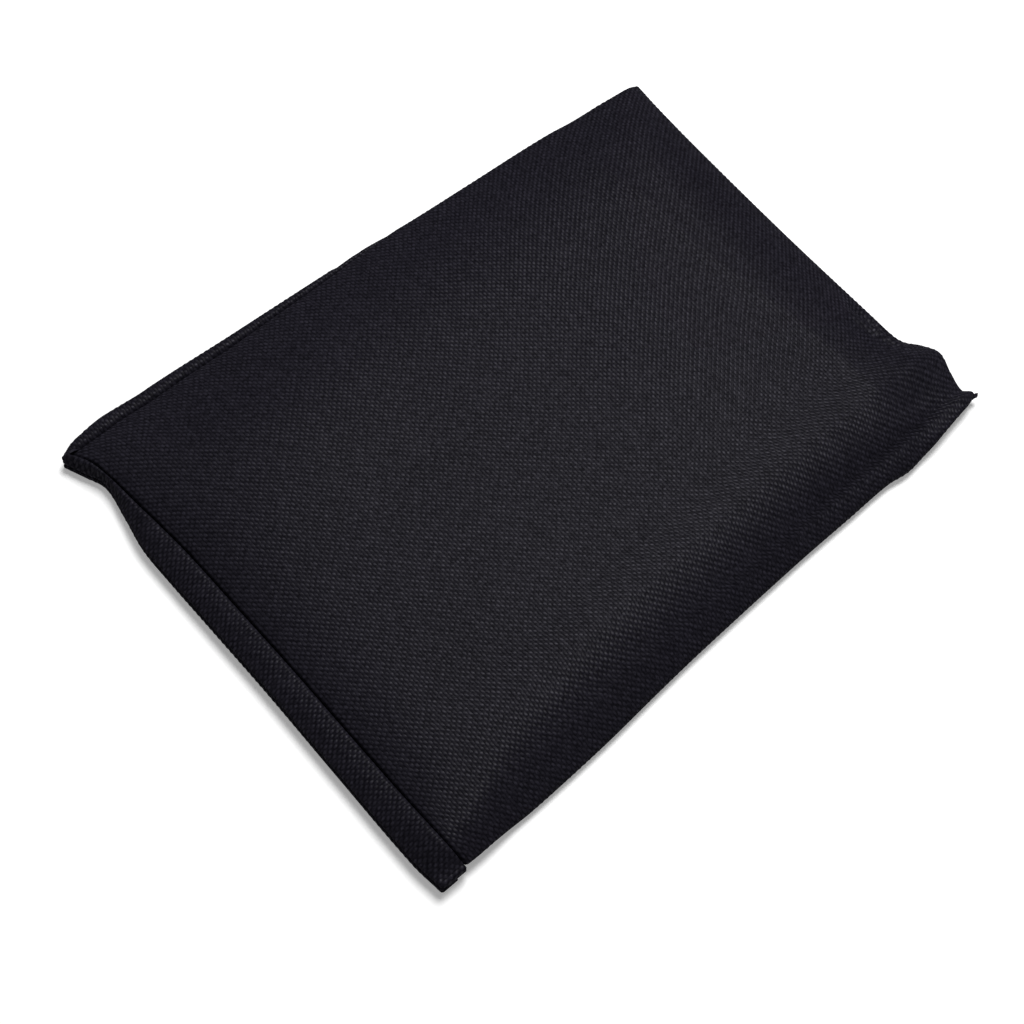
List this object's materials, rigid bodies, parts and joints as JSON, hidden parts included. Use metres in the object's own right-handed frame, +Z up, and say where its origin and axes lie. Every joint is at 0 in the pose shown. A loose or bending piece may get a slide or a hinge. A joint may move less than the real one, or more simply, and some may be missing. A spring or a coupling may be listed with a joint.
{
  "type": "projector dust cover, folded flat",
  "caption": "Box-shaped fabric dust cover for a compact projector, lying folded flat with its walls tucked in under the top panel.",
  "frame": {"origin": "middle of the folded cover's box, on the surface that it lies on", "axes": "+X along the long side, towards the rolled right-hand edge; +Y towards the back wall; +Z up"},
  "size_m": [0.2466, 0.1939, 0.0154],
  "materials": {
    "black_oxford": "coarse plain-weave black oxford cloth, matt with a faint sheen on the thread crowns"
  },
  "bodies": {
    "root": {"top_panel": "black_oxford", "back_wall": "black_oxford", "front_wall": "black_oxford", "left_wall": "black_oxford", "right_wall": "black_oxford"}
  },
  "joints": []
}
